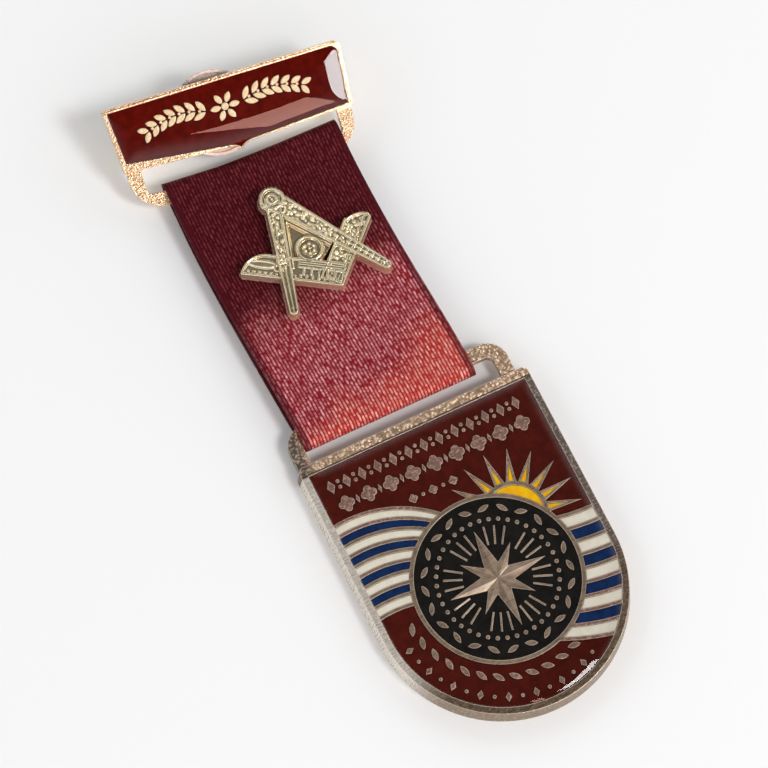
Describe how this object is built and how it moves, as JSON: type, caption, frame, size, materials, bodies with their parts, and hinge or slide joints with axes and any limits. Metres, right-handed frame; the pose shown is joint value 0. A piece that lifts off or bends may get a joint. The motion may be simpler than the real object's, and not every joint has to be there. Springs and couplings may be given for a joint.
{
  "type": "masonic jewel",
  "caption": "Enamelled shield jewel on a folded satin ribbon, hung from an enamelled bar with a clutch pin; a cast square and compasses is pinned to the ribbon.",
  "frame": {"origin": "middle of the jewel's outline, on the surface that its back rests on", "axes": "+Y from the shield up to the pin bar, +X to the right as seen from the front, +Z out of the face"},
  "size_m": [0.0371, 0.098, 0.0098],
  "materials": {
    "gilt_bar": "polished gilt",
    "shield_bronze": "worn pale bronze with granulated rims",
    "antique_gold": "antique gold, darker in the recesses",
    "clutch_steel": "dull nickel",
    "satin": "maroon satin ribbon",
    "red_enamel": "translucent red enamel",
    "maroon_enamel": "maroon enamel",
    "white_enamel": "white enamel",
    "blue_enamel": "navy enamel",
    "yellow_enamel": "yellow enamel",
    "black_enamel": "black enamel",
    "clear_coat": "clear domed resin"
  },
  "bodies": {
    "root": {"bar_frame": "gilt_bar", "bar_enamel": "red_enamel", "bar_dome": "clear_coat", "clutch": "clutch_steel", "ribbon": "satin", "emblem": "antique_gold", "emblem_stud": "clutch_steel", "shield_frame": "shield_bronze", "enamel_top": "maroon_enamel", "enamel_foot": "maroon_enamel", "enamel_white": "white_enamel", "enamel_blue": "blue_enamel", "enamel_sun": "yellow_enamel", "medallion_enamel": "black_enamel", "shield_dome": "clear_coat"}
  },
  "joints": []
}
